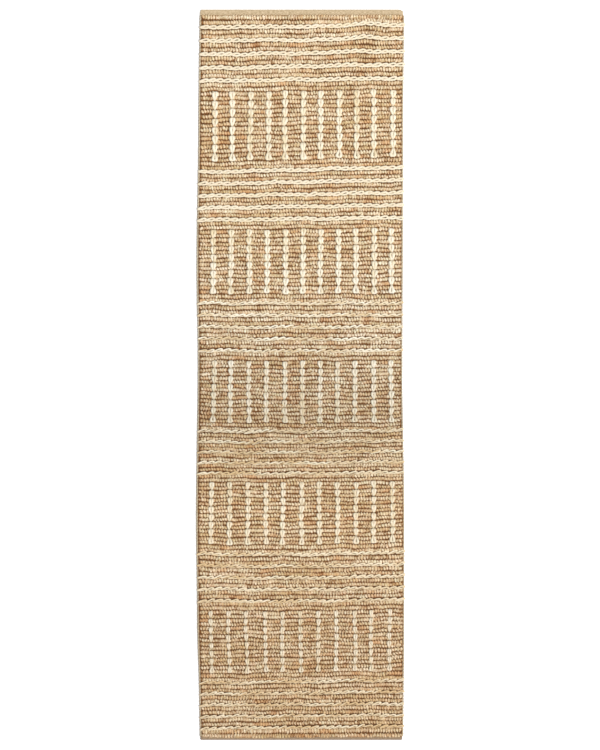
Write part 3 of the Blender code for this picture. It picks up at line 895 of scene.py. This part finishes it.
# Close flat-woven cloth: sandy and matt, with short streaks along its weft. It is darker and greyer
# towards the -Y end.
HEM_TONE_RANGE = (0.3, 0.7)
HEM_BUMP_MM = 0.3
hem_cloth, hem_tree, hem_shader = new_material("flat_woven_hem_cloth", roughness=0.9)
_, hem_fibres = fibre_pattern(hem_tree, angle=0.0, width_mm=1.2, length_mm=9)
hem_share = add_node(
    hem_tree, "ShaderNodeMapRange",
    {"Value": hem_fibres, "From Min": HEM_TONE_RANGE[0], "From Max": HEM_TONE_RANGE[1]},
    "Result", **SMOOTH_RANGE,
)
hem_tone = add_node(
    hem_tree, "ShaderNodeMix",
    {0: hem_share, 6: linear("#998564"), 7: linear("#c6b192")}, 2, **COLOUR_MIX,
)
hem_place = add_node(hem_tree, "ShaderNodeTexCoord", out="Object")
hem_along_rug = add_node(hem_tree, "ShaderNodeSeparateXYZ", {"Vector": hem_place}, "Y")
hem_far = add_node(
    hem_tree, "ShaderNodeMapRange",
    {"Value": hem_along_rug, "From Min": rug_high.y, "From Max": rug_low.y}, "Result",
)
hem_darker = add_node(
    hem_tree, "ShaderNodeMix", {0: 1.0, 6: hem_tone, 7: linear("#b0a8ab")}, 2, **COLOUR_PRODUCT
)
hem_drifted = add_node(
    hem_tree, "ShaderNodeMix", {0: hem_far, 6: hem_tone, 7: hem_darker}, 2, **COLOUR_MIX
)
hem_tree.links.new(hem_drifted, hem_shader.inputs["Base Color"])
hem_bump = add_node(
    hem_tree, "ShaderNodeBump",
    {"Height": hem_fibres, "Strength": 0.6, "Distance": HEM_BUMP_MM * MM}, "Normal",
)
hem_tree.links.new(hem_bump, hem_shader.inputs["Normal"])

HEM_STEP_MM = 1.0
HEM_RIB_MM = 3.6
HEM_CORNERS_MM = {"top_hem": (7.0, 13.0), "end_hem": (3.0, 4.0)}
HEM_INSETS_MM = (2.0, 4.0)
HEM_SIDES = 44
HEM_SQUARENESS = 0.55
HEM_RIB_LINES = 6
HEM_RIB_SWELL = 0.08
HEM_THICK_THIN = (0.02, 25)
HEM_TAPER_MM = 3
HEM_END_SHARE = 0.35


def add_hem(node, seed):
    """One folded hem: an oblong section with round edges, ribbed, with its corners rounded in plan."""
    chance = np.random.default_rng(seed)
    low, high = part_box(node)
    left, right = low.x + HEM_INSETS_MM[0] * MM, high.x - HEM_INSETS_MM[1] * MM
    steps = int((right - left) / (HEM_STEP_MM * MM)) + 1
    x = np.linspace(left, right, steps)
    half_y = (high.y - low.y) / 2
    half_z = (high.z - low.z) / 2
    outward = 1 if high.y > 0 else -1
    # The corner's radius, left or right, and how much it takes off the hem's length at each step.
    corner = np.minimum(np.where(x < 0, *HEM_CORNERS_MM[node]) * MM, 2 * half_y)
    from_end = np.minimum(x - left, right - x)
    cut = np.clip(1 - from_end / corner, 0, 1)
    bite = corner * (1 - np.sqrt(1 - cut**2))
    angle = 2 * math.pi * np.arange(HEM_SIDES) / HEM_SIDES
    across = np.sign(np.cos(angle)) * np.abs(np.cos(angle)) ** HEM_SQUARENESS
    upward = np.sign(np.sin(angle)) * np.abs(np.sin(angle)) ** HEM_SQUARENESS
    reach = half_y - bite / 2
    middle = (low.y + high.y) / 2 - outward * bite / 2
    y = middle[:, None] + reach[:, None] * across[None, :]
    rib = np.cos(2 * math.pi * x[:, None] / (HEM_RIB_MM * MM)) * np.cos(HEM_RIB_LINES * angle[None, :])
    share, wave = HEM_THICK_THIN
    swell = 1 + HEM_RIB_SWELL * rib + share * smooth_noise(chance, (1, steps), wave)[0][:, None]
    taper = np.minimum(1, from_end / (HEM_TAPER_MM * MM) + HEM_END_SHARE) ** 0.5
    z = half_z + half_z * upward[None, :] * swell * taper[:, None]
    rings = np.stack(np.broadcast_arrays(x[:, None], y, z), -1)[None]
    return add_tubes(
        node + "_cloth", laid_out(rings), x[None, :], WHOLE_MAP, hem_cloth, [node]
    )


hems = [add_hem("top_hem", seed=51), add_hem("end_hem", seed=52)]

# --- Hem stitching ----------------------------------------------------------------------------
# A line of lock stitches in sandy spun thread holds each fold shut, one stitch every 5 mm. They go
# through both layers of the hem, and sink into the cloth where the thread goes down.

# Spun sewing thread: smoother than the yarns, sandy, with its own tight twist.
seam_thread, thread_tree, thread_shader = new_material("spun_sewing_thread", roughness=0.7)
_, thread_fibres = fibre_pattern(thread_tree, angle=math.radians(40), width_mm=0.4, length_mm=3)
thread_tone = add_node(
    thread_tree, "ShaderNodeMix",
    {0: thread_fibres, 6: linear("#a08a68"), 7: linear("#b8a382")}, 2, **COLOUR_MIX,
)
thread_tree.links.new(thread_tone, thread_shader.inputs["Base Color"])

STITCH_LENGTH_MM = 5.0
STITCH_SHARE = 0.42
STITCH_STEPS = 7
STITCH_SINK_MM = 0.2
STITCH_DIVE_MM = 1.1
THREAD_HALF_MM = 0.5
THREAD_SIDES = 6
THREAD_TWIST = 1.2
THREAD_GROOVE = (0.12, 0.12)
THREAD_HALF_LENGTH_MM = 2


def add_seam(node):
    """One line of stitches along a hem. Each shows for most of its length and dives at its ends."""
    low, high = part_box(node)
    count = int((high.x - low.x) / (STITCH_LENGTH_MM * MM))
    x = np.linspace(low.x, high.x, count + 1)[:-1] + STITCH_LENGTH_MM / 2 * MM
    t = np.linspace(-1, 1, STITCH_STEPS)
    paths = np.empty((count, STITCH_STEPS, 3))
    paths[..., 0] = x[:, None] + t[None, :] * STITCH_LENGTH_MM * STITCH_SHARE * MM
    paths[..., 1] = (low.y + high.y) / 2
    paths[..., 2] = high.z - (STITCH_SINK_MM + STITCH_DIVE_MM * t[None, :] ** 4) * MM
    girth = np.full((count, STITCH_STEPS), THREAD_HALF_MM * MM)
    turns = np.tile(np.arange(STITCH_STEPS) * THREAD_TWIST, (count, 1))
    rings = yarn_rings(laid_out(paths), girth, girth, turns, THREAD_GROOVE, THREAD_SIDES)
    cells = [(n / count, 0, 1 / count, 1) for n in range(count)]
    along = x[:, None] + t[None, :] * THREAD_HALF_LENGTH_MM * MM
    return add_tubes(node + "_thread", rings, along, cells, seam_thread, [node])


seams = [add_seam("top_hem_seam"), add_seam("end_hem_seam")]
